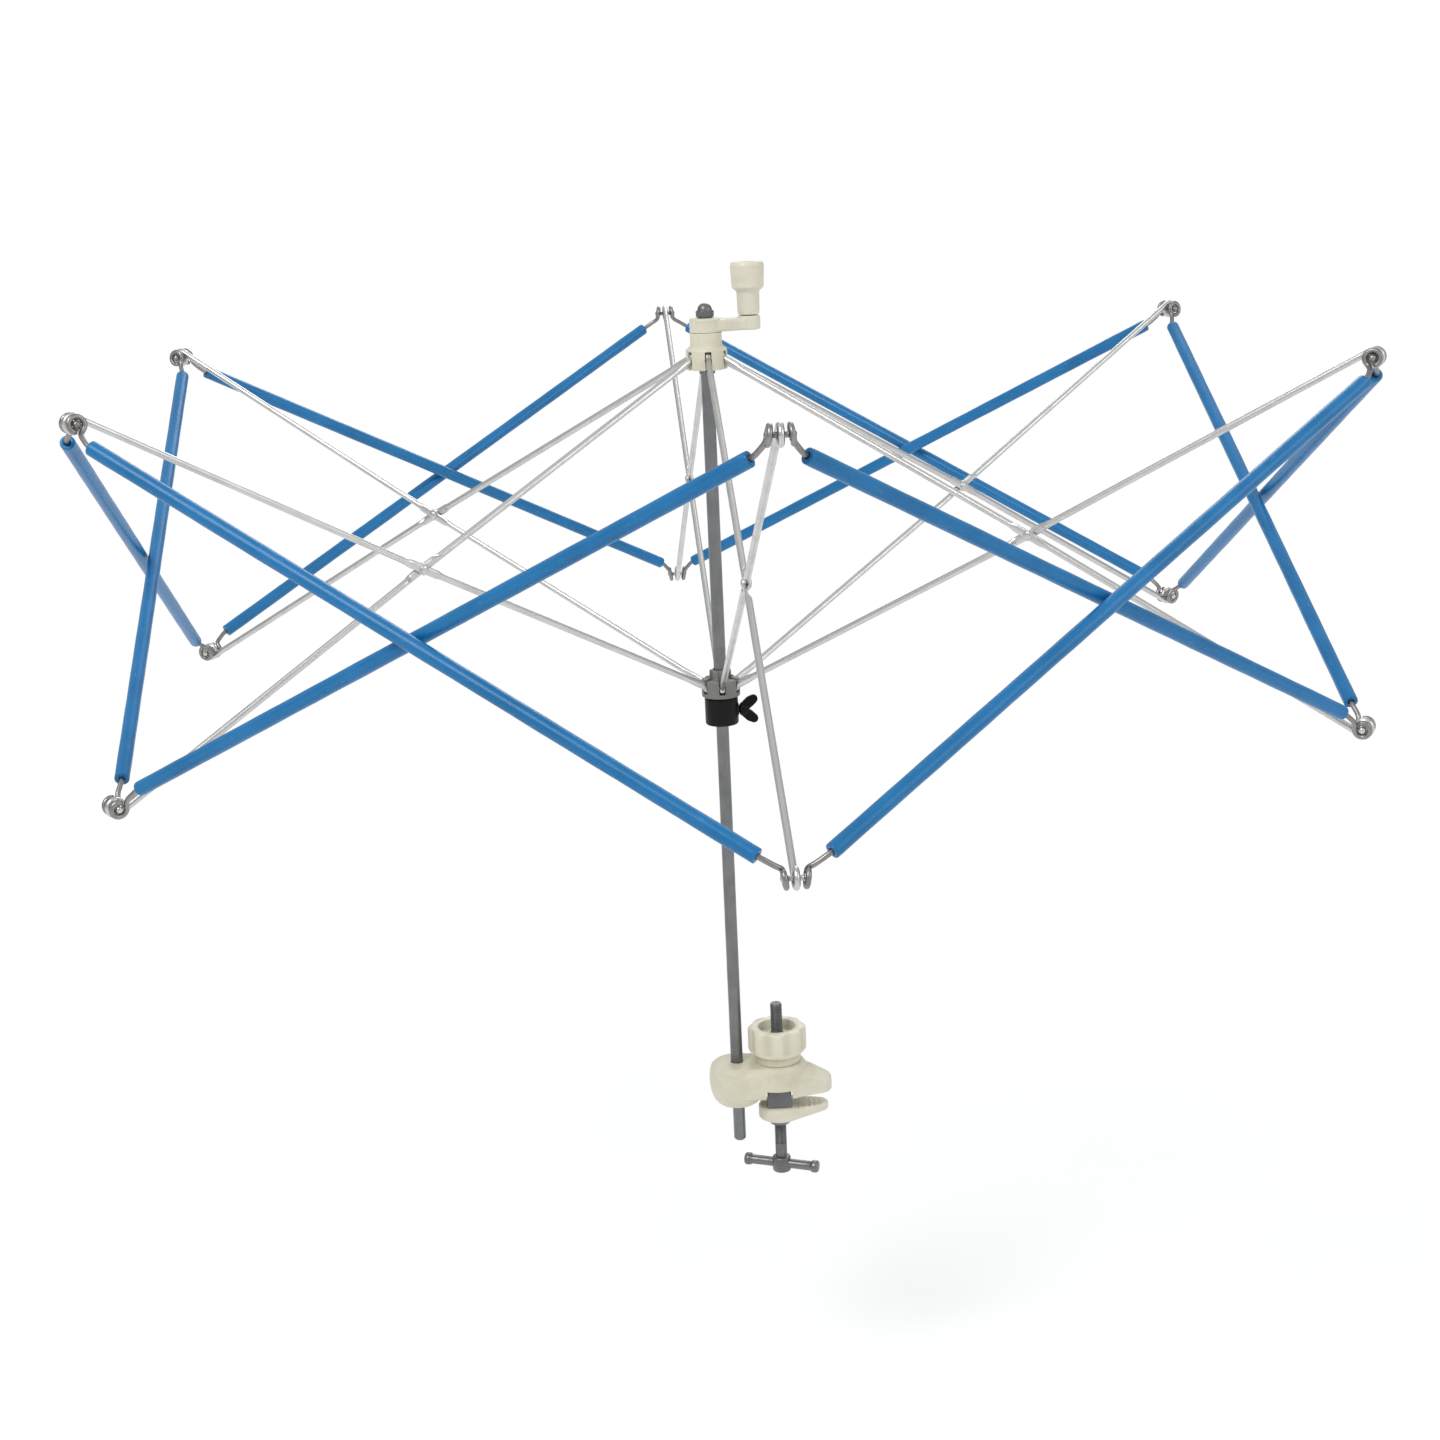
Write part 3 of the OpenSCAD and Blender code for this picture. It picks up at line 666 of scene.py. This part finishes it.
for k in range(1, 7):
    for tag, side in (("a", 1), ("b", -1)):
        m = corner(k) @ T(RIM_R, side * SIDE, TOP_Z) @ R(side * 120, "Z") @ Matrix.Rotation(REST, 4, "Y")
        pts, run, d = arm_end_path(k, side)
        far = other_end([run])[0]
        axis = (far - run).normalized()
        pts += bezier(run - d * 3.6, run - d * 1.5, run - axis * 0.2, run + axis * 1.6, 8)
        mid = [run + axis * t for t in (6, 60, 120, 159)]
        path = pts + mid + other_end(mid) + other_end(pts)
        radii = [ARM_WIRE_R] * len(path)
        radii[0] = radii[-1] = 0.55
        radii[1] = radii[-2] = 0.95
        s = Shape()
        s.tube(path, [(r, r, 0) for r in radii], m, sides=16)
        put(s.build(f"arm_{k}{tag}_wire", [ARM_WIRE]), f"arm_{k}{tag}", [f"arm_wire_{k}{tag}"])

        # the sleeve: a thick-walled tube, its outside very slightly uneven
        length = (far - run).length
        slope = math.atan2(2 * RUN_DROP, LENGTH - 2 * RUN_START)
        body = [(SLEEVE_R + 0.035 * math.sin(i * 1.7 + k) + 0.02 * math.sin(i * 0.61 + side),
                 4 + (length - 8) * i / 44) for i in range(45)]
        closing = [(r, length - x) for r, x in reversed(SLEEVE_END)]
        s = Shape()
        s.lathe(SLEEVE_END + body + closing,
                m @ Matrix.Translation(run) @ Matrix.Rotation(-slope, 4, "Y") @ R(90, "Y"), 32, closed=True)
        put(s.build(f"arm_{k}{tag}_blue_sleeve", [BLUE]), f"arm_{k}{tag}",
            [f"arm_sleeve_{k}{tag}"])

# ---------------------------------------------------------------- shaft and its nut
SHOULDER_Z, SHOULDER_H, SHOULDER_R = TOP_Z - 7.5, 1.7, 3.7
s = Shape()
s.lathe(arc_corners([(0, SHAFT_FOOT_Z, 0), (2.2, SHAFT_FOOT_Z, .2), (SHAFT_R, SHAFT_FOOT_Z + 0.9, .3),
                     (SHAFT_R, SHOULDER_Z, .25), (SHOULDER_R, SHOULDER_Z, .3),
                     (SHOULDER_R, SHOULDER_Z + SHOULDER_H, .3), (SHAFT_R, SHOULDER_Z + SHOULDER_H, .2),
                     (SHAFT_R, SHAFT_TOP_Z - 0.6, .3), (2.4, SHAFT_TOP_Z, .2), (0, SHAFT_TOP_Z, 0)], 4),
        AT_SHAFT, 48)
put(s.build("shaft_rod", [ROD]), "clamp_and_shaft", ["shaft"])


def hex_rows(across_half, z0, z1, sides=72):
    """A hexagon nut body with its corners turned off top and bottom."""
    turned = across_half * 0.99
    reach = across_half / math.cos(math.pi / 6)

    def capped(cap, z):
        return ring(lambda j: min(across_half / math.cos((TAU * j / sides) % (TAU / 6) - TAU / 12), cap), z, sides)

    out = [capped(across_half * 0.80, z0), capped(turned, z0)]
    for t in (0.0, 0.34, 0.67, 1.0):
        out.append(capped(turned + (reach - turned) * t, z0 + 0.45 * t))
    for t in (1.0, 0.67, 0.34, 0.0):
        out.append(capped(turned + (reach - turned) * t, z1 - 0.45 * t))
    return out


s = Shape()
s.rows(hex_rows(3.62, 384.3, 387.5), AT_SHAFT)
dome = [(3.4 * math.cos(math.radians(a)), 387.5 + 3.3 * math.sin(math.radians(a))) for a in range(4, 88, 8)]
s.lathe([(3.45, 387.3)] + dome + [(0.05, 390.8)], AT_SHAFT, 48)
put(s.build("top_dome_nut", [ROD]), "clamp_and_shaft", ["top_nut"])


# ---------------------------------------------------------------- hubs
def slot_cutter(z0, z1):
    c = Shape()
    for k in range(6):
        c.prism(4.1, 16, 1.5, z0, z1, R(TURN + 60 * k, "Z"))
    return c


s = Shape()
s.lathe(arc_corners([(HUB_BORE_R, -5.5, 0), (9.6, -5.5, .6), (9.6, 3.8, .8), (7.4, 5.4, 1.0), (7.4, 11.4, 0),
                     (HUB_BORE_R, 11.4, 0)], 5), None, 96, closed=True)
hub = moulded("upper_hub_moulding", s, slot_cutter(-8, 3), CREAM, 0.22, 3, at=(SHAFT_X, 0, TOP_Z))
put(hub, "head", ["upper_hub"])

s = Shape()
s.lathe(arc_corners([(HUB_BORE_R, -5, 0), (9.2, -5, .6), (9.2, 3.6, .8), (5.2, 3.9, .6), (5.2, 8, .6),
                     (HUB_BORE_R, 8, 0)], 5), None, 96, closed=True)
hub = moulded("lower_hub_moulding", s, slot_cutter(-3, 12), GREY, 0.2, 3, at=(SHAFT_X, 0, LOW_Z))
put(hub, "slider", ["lower_hub"])

HALF_PIN = [(1.0, 0), (1.0, 2.6), (0.96, 2.78), (0.8, 2.87), (0, 2.9)]
for body, name, z in (("head", "upper_hub_pins", TOP_Z), ("slider", "lower_hub_pins", LOW_Z)):
    s = Shape()
    for k in range(1, 7):
        s.lathe([(r, -y) for r, y in HALF_PIN[:0:-1]] + HALF_PIN, corner(k) @ T(HUB_R, 0, z) @ R(-90, "X"), 20)
    put(s.build(f"{name}_turned", [ROD]), body, [name])


def thread(shape, radius, depth, pitch, z0, z1, m, n=28):
    """A rod with a single-start thread cut into it, fading out at both ends."""
    rows, step = [], pitch / 10
    for i in range(int(round((z1 - z0) / step)) + 1):
        z = z0 + i * step
        fade = min(smoothstep(z1, z1 - 1.0, z), smoothstep(z0, z0 + 1.4, z))
        point = depth * (1 - smoothstep(z1, z1 - 0.8, z))

        def cut_radius(j):
            tooth = abs((z / pitch - j / n) % 1.0 - 0.5) * 2
            groove = max(0.0, min(1.0, (tooth - 0.12) / 0.72))
            return radius - depth * (1 - groove) * fade - point

        rows.append(ring(cut_radius, z, n))
    shape.rows(rows, m)


# ---------------------------------------------------------------- crank arm, knob and knob pin
AT_CRANK = AT_SHAFT @ R(15, "Z")
AT_KNOB = AT_CRANK @ T(CRANK_REACH, 0, 0)
s = Shape()
s.lathe(arc_corners([(HUB_BORE_R, CRANK_Z, 0), (7.35, CRANK_Z, .2), (7.4, CRANK_TOP_Z, .9),
                     (HUB_BORE_R, CRANK_TOP_Z, .3)], 5, True), AT_CRANK, 64, closed=True)
s.block(two_circles(0.01, 6.6, CRANK_REACH, 4.3, 56), CRANK_Z + 0.1, CRANK_TOP_Z - 0.8, 1.2, AT_CRANK, 4)
s.lathe(arc_corners([(0, CRANK_Z, 0), (5.3, CRANK_Z, .9), (5.3, CRANK_TOP_Z, .7), (0, CRANK_TOP_Z, 0)], 5),
        AT_KNOB, 56)
bore = Shape()
bore.lathe([(HUB_BORE_R, 370), (HUB_BORE_R, 390)], AT_CRANK, 64)
put(moulded("crank_arm_moulding", s, bore, CREAM, 0.2, 4), "head", ["crank_arm"])

z = CRANK_TOP_Z + 0.4
s = Shape()
s.lathe(arc_corners([(1.85, z + .1, .2), (4.9, z, .5), (5.15, z + 2, .5), (5.3, z + 10.6, 1.6), (7.45, z + 12.4, 1.5),
                     (7.9, z + 22.4, 1.1), (7.2, z + 24, .9), (3.7, z + 24, .5), (3.55, z + 21, .4),
                     (1.85, z + 21, .1)], 6, True), AT_KNOB, 72, closed=True)
put(s.build("crank_knob_moulding", [CREAM]), "knob", ["crank_knob"])
z = 405.7                             # under the rivet's head
s = Shape()
s.lathe([(0, 377.6), (1.3, 377.6), (1.5, 377.9), (1.5, z), (3.1, z), (3.1, z + .5), (2.9, z + 1.0),
         (2.3, z + 1.38), (1.2, z + 1.6), (0, z + 1.65)], AT_KNOB, 40)
put(s.build("crank_knob_rivet", [ROD]), "head", ["crank_knob_pin"])

# ---------------------------------------------------------------- stop collar and wing screw
COLLAR_TOP_Z, COLLAR_H, COLLAR_R = LOW_Z - 5.3, 13.5, 8
z0, z1 = COLLAR_TOP_Z - COLLAR_H, COLLAR_TOP_Z
at_stud = AT_SHAFT @ T(0, 0, COLLAR_TOP_Z - COLLAR_H / 2)
s = Shape()
s.lathe(arc_corners([(3.15, z0, .3), (COLLAR_R, z0, 1.0), (COLLAR_R, z1, 1.0), (3.15, z1, .3)], 5, True),
        AT_SHAFT, 72, closed=True)
s.lathe(arc_corners([(1.9, 6.5, 0), (3.0, 6.5, 0), (3.0, 8.3, .4), (1.9, 8.3, .2)], 3, True),
        at_stud @ R(90, "Y"), 36, closed=True)
put(s.build("stop_collar_moulding", [BLACK]), "collar", ["stop_collar"])

# the wings are hulls between three thick discs that lean outward, built at the origin for moulded()
WING_DISCS = ((10.4, 0.8, 2.2, 1.35), (13.6, 3.6, 2.5, 1.0), (15.3, 4.75, 2.1, 0.85))  # x, z, radius, half thickness
s = Shape()
s.lathe(arc_corners([(0, 8.8, 0), (3.1, 8.8, .6), (3.3, 11.5, .6), (2.4, 13.2, .8), (0, 13.4, 0)], 4), R(90, "Y"), 40)
for sign in (1, -1):
    discs = [[(cx + r * math.cos(TAU * i / 28), y, sign * cz + r * math.sin(TAU * i / 28))
              for i in range(28) for y in (-half, half)] for cx, cz, r, half in WING_DISCS]
    s.hull(discs[0] + discs[1])
    s.hull(discs[1] + discs[2])
bolt = Shape()
thread(bolt, 1.7, 0.3, 0.7, 3.1, 12, at_stud @ R(90, "Y"), 24)
put(bolt.build("wing_screw_stud_threaded", [SCREW]), "wing_screw", ["thumb_screw_stud"])
o = moulded("wing_screw_moulding", s, None, BLACK, 0.14, 5, at=at_stud.translation)
put(o, "wing_screw", ["thumb_screw"])


# ---------------------------------------------------------------- clamp body
def jaw_grooves(cutter, count, z0, z1):
    """Gripping grooves across a jaw's face, towards its tip."""
    for i in range(count):
        x = 29.2 + 2.7 * i
        cutter.prism(x, x + 0.9, 20, z0, z1)


s = Shape()
s.lathe([(0, -5), (7.6, -5), (9.0, -4.6), (10.6, -3.4), (12.2, -1.2), (13.2, 1.6), (13.9, 5), (14, 9), (13.8, 12.6),
         (13.0, 15.2), (11.4, 16.7), (9.6, BODY_TOP_Z), (0, BODY_TOP_Z)], None, 96)
s.lathe([(0, 0), (13.2, 0), (14.1, 1.2), (14.5, 4), (14.5, 12.5), (13.8, 15.4), (12.6, 16.8), (11, BODY_TOP_Z),
         (0, BODY_TOP_Z)], T(SCREW_X, 0, 0), 96)
s.hull(disc_points(0, 12.9, 1.5, 13.5) + disc_points(0, 10.8, 0, 16.2) + disc_points(SCREW_X, 13.9, 1.5, 14)
       + disc_points(SCREW_X, 11.5, 0, 16.6))
s.hull(disc_points(SCREW_X, 13.4, 0.8, 12.5) + disc_points(SCREW_X, 11.0, 0, 15.4) + disc_points(40.3, 6.7, 0.8, 6.8)
       + disc_points(40.3, 5.7, 0, 8.6) + disc_points(31, 8.0, 1, 12.2))
early = Shape()
early.lathe([(SHAFT_R + 0.05, -10), (SHAFT_R + 0.05, 30)], None, 48)
early.prism(SCREW_X - CHANNEL_HALF_X, SCREW_X + CHANNEL_HALF_X, 20, -8, 5)
late = Shape()
late.prism(SCREW_X - 6.4, SCREW_X + 6.4, 5.9, -2, 12.6)
late.lathe([(3.4, 5), (3.4, 30)], T(SCREW_X, 0, 0), 48)
jaw_grooves(late, 6, -1, 0.45)
o = moulded("clamp_body_moulding", s, early, CREAM, 0.3, 5, late, at=(SHAFT_X, 0, 0))
put(o, "clamp_and_shaft", ["clamp_body"])

# ---------------------------------------------------------------- scalloped nut
NUT_SIDES = 192
SCALLOP_AT, SCALLOP_R = 17.2, 4.6     # the eight scallops' centres, and their radius
SCALLOP_BLUR = ((-3, .08), (-2, .14), (-1, .18), (0, .2), (1, .18), (2, .14), (3, .08))
# radius, height and how much of the scallops each ring has
NUT_LEVELS = [(10.6, 0, 0), (11.1, .25, 0), (11.2, .7, 0), (11.2, 3.2, 0), (11.5, 3.9, 0), (12.6, 4.6, .2),
              (13.7, 5.4, .5), (14.35, 6.2, .8), (14.5, 7.2, 1), (14.5, 16.4, 1), (14.3, 17.1, 1), (13.8, 17.7, .97),
              (13.1, 18, .9)]
NUT_BORE = [(9.6, 18), (9.3, 17.8), (9.1, 17.2), (8.5, 14.5), (8.2, 14.1), (7.6, 14), (5.4, 14), (5.1, 14.25),
            (4.7, 14.4), (3.5, 14.4), (3.2, 14.1), (3.1, 13.4), (3.1, .3), (3.3, 0)]


def scallop(j, r, depth):
    a = (TAU * j / NUT_SIDES) % (TAU / 8) - TAU / 16
    across = SCALLOP_AT * math.sin(a)
    if abs(across) >= SCALLOP_R:
        return r
    edge = SCALLOP_AT * math.cos(a) - math.sqrt(SCALLOP_R ** 2 - across ** 2)
    return r if edge >= r else r + (edge - r) * depth


def scallop_soft(j, r, depth):
    return sum(scallop((j + d) % NUT_SIDES, r, depth) * w for d, w in SCALLOP_BLUR)


rows = [ring(lambda j: scallop_soft(j, r, depth), z, NUT_SIDES) for r, z, depth in NUT_LEVELS]
rows += [ring(lambda j: r, z, NUT_SIDES) for r, z in NUT_BORE]
s = Shape()
s.rows(rows, AT_SHAFT @ T(SCREW_X, 0, BODY_TOP_Z), closed=True, ucirc=90)
put(s.build("scalloped_nut_moulding", [CREAM]), "clamp_and_shaft", ["clamp_scalloped_nut"])

# ---------------------------------------------------------------- lower jaw and its key block
s = Shape()
s.hull(disc_points(SCREW_X, 10.5, -12.6, JAW_TOP_Z - 1) + disc_points(SCREW_X, 9.4, -13.5, JAW_TOP_Z)
       + disc_points(JAW_TIP_X, 5.5, -9.6, JAW_TOP_Z - 1) + disc_points(JAW_TIP_X, 4.6, -10.2, JAW_TOP_Z))
late = Shape()
late.lathe([(3.25, -30), (3.25, 10)], T(SCREW_X, 0, 0), 48)
late.prism(SCREW_X - KEY_HALF_X, SCREW_X + KEY_HALF_X, 8.05, JAW_TOP_Z - 1.5, 0)
jaw_grooves(late, 5, JAW_TOP_Z - 0.45, -5)
o = moulded("lower_jaw_moulding", s, None, CREAM, 0.26, 5, late, at=(SHAFT_X, 0, 0))
put(o, "lower_jaw", ["clamp_jaw"])

s = Shape()
s.block(rounded_box(SCREW_X, 5.95, 5.45, 0.7), JAW_TOP_Z - 1.5, 12.2, 0.5)
s.block(rounded_box(SCREW_X, 5.9, 7.95, 0.8), JAW_TOP_Z - 1.4, 4.6, 0.6)   # its wide foot
late = Shape()
late.lathe([(3.25, -30), (3.25, 30)], T(SCREW_X, 0, 0), 48)
o = moulded("key_block_casting", s, None, KEY_GREY, 0.18, 3, late, at=(SHAFT_X, 0, 0))
put(o, "lower_jaw", ["clamp_key_block"])

# ---------------------------------------------------------------- clamp screw with its thread, and the T-bar
AT_SCREW = AT_SHAFT @ T(SCREW_X, 0, 0)
s = Shape()
thread(s, 2.95, 0.5, 1.0, -29, 47, AT_SCREW)
s.lathe([(0, -43), (3.9, -43), (4.4, -42.7), (4.6, -42.1), (4.6, -36.0), (4.3, -35.4), (3.6, -35.1), (2.9, -35),
         (2.9, -29), (2.75, -28.6), (0, -28.5)], AT_SCREW, 40)
s.lathe(arc_corners([(2.6, -16.8, 0), (5.2, -16.8, .5), (5.2, -13.8, .5), (2.6, -13.8, 0)], 4, True),
        AT_SCREW, 40, closed=True)
put(s.build("clamp_screw_threaded", [SCREW]), "t_screw", ["clamp_screw"])

HALF_BAR = [(2.4, 0), (2.38, 6), (2.4, 12), (2.4, 15.6), (2.5, 15.9), (2.8, 16.1), (3.05, 16.6), (3.1, 17.2),
            (3.1, 18.2), (2.95, 18.9), (2.6, 19.3), (2.0, 19.5), (0, 19.5)]
s = Shape()
s.lathe([(r, -z) for r, z in HALF_BAR[:0:-1]] + HALF_BAR,
        AT_SCREW @ T(0, 0, -39) @ R(T_BAR_TURN, "Z") @ R(90, "Y"), 36)
put(s.build("clamp_t_bar_steel", [SCREW]), "t_screw", ["clamp_t_bar"])

# ---------------------------------------------------------------- floor, backdrop and light
WHITE = (1, 1, 1, 1)
BACKDROP = 1.02                      # strength of the white behind the object
FLOOR_Z, FLOOR_R = -0.17, 14         # metres
FADE_FROM, FADE_TO = 0.25, 1.15      # the floor turns to the backdrop's white between these, in metres

floor_mat, nt, b = new_material("pale_floor")
tone = noise(nt, coords(nt, "Object"), 1.3, 3, 0.5)
nt.links.new(ramp(nt, tone, [(0.3, (0.90, 0.90, 0.895)), (0.7, (0.93, 0.93, 0.925))]), b.inputs["Base Color"])
b.inputs["Roughness"].default_value = 0.75
b.inputs["Specular IOR Level"].default_value = 0.15
glow = node(nt, "ShaderNodeEmission")
glow.inputs["Color"].default_value = WHITE
glow.inputs["Strength"].default_value = BACKDROP
from_centre = node(nt, "ShaderNodeVectorMath", operation="LENGTH")
nt.links.new(coords(nt, "Object", (1, 1, 0)), from_centre.inputs[0])
fade = node(nt, "ShaderNodeMapRange", interpolation_type="SMOOTHSTEP")
fade.inputs["From Min"].default_value = FADE_FROM
fade.inputs["From Max"].default_value = FADE_TO
nt.links.new(from_centre.outputs["Value"], fade.inputs["Value"])
blend = node(nt, "ShaderNodeMixShader")
nt.links.new(fade.outputs[0], blend.inputs[0])
nt.links.new(b.outputs[0], blend.inputs[1])
nt.links.new(glow.outputs[0], blend.inputs[2])
nt.links.new(blend.outputs[0], nt.nodes["Material Output"].inputs[0])
me = bpy.data.meshes.new("floor")
bm = bmesh.new()
bmesh.ops.create_circle(bm, cap_ends=True, radius=FLOOR_R, segments=96)
bm.to_mesh(me)
bm.free()
floor = bpy.data.objects.new("floor", me)
floor.location = (0, 0, FLOOR_Z)
me.materials.append(floor_mat)
scene.collection.objects.link(floor)

# the world lights the object with a soft grey-to-white sky, and looks plain white behind it
world = bpy.data.worlds.new("studio")
scene.world = world
world.use_nodes = True
nt = world.node_tree
nt.nodes.clear()
out = node(nt, "ShaderNodeOutputWorld")
sky = node(nt, "ShaderNodeBackground")
seen = node(nt, "ShaderNodeBackground")
seen.inputs["Color"].default_value = WHITE
seen.inputs["Strength"].default_value = BACKDROP
light_path = node(nt, "ShaderNodeLightPath")
either = node(nt, "ShaderNodeMixShader")
direction = node(nt, "ShaderNodeTexCoord")
height = node(nt, "ShaderNodeSeparateXYZ")
nt.links.new(direction.outputs["Generated"], height.inputs[0])
nt.links.new(ramp(nt, height.outputs["Z"], [(0.0, (0.62, 0.63, 0.65)), (0.9, (1.0, 1.0, 1.0))]), sky.inputs["Color"])
sky.inputs["Strength"].default_value = 0.75
nt.links.new(light_path.outputs["Is Camera Ray"], either.inputs[0])
nt.links.new(sky.outputs[0], either.inputs[1])
nt.links.new(seen.outputs[0], either.inputs[2])
nt.links.new(either.outputs[0], out.inputs[0])


def area(name, loc, target, size, power, color=(1, 1, 1)):
    d = bpy.data.lights.new(name, "AREA")
    d.shape, d.size, d.energy, d.color = "DISK", size, power, color
    o = bpy.data.objects.new(name, d)
    o.location = loc
    o.rotation_euler = (Vector(target) - Vector(loc)).to_track_quat("-Z", "Y").to_euler()
    scene.collection.objects.link(o)


area("key", (-1.2, -1.5, 2.2), (0, 0, 0.2), 1.3, 34)
area("fill", (1.9, -1.2, 1.2), (0, 0, 0.2), 1.6, 12, (0.96, 0.98, 1.0))
area("back", (0.3, 1.9, 1.7), (0, 0, 0.25), 1.3, 14)

scene.view_settings.view_transform = "Standard"
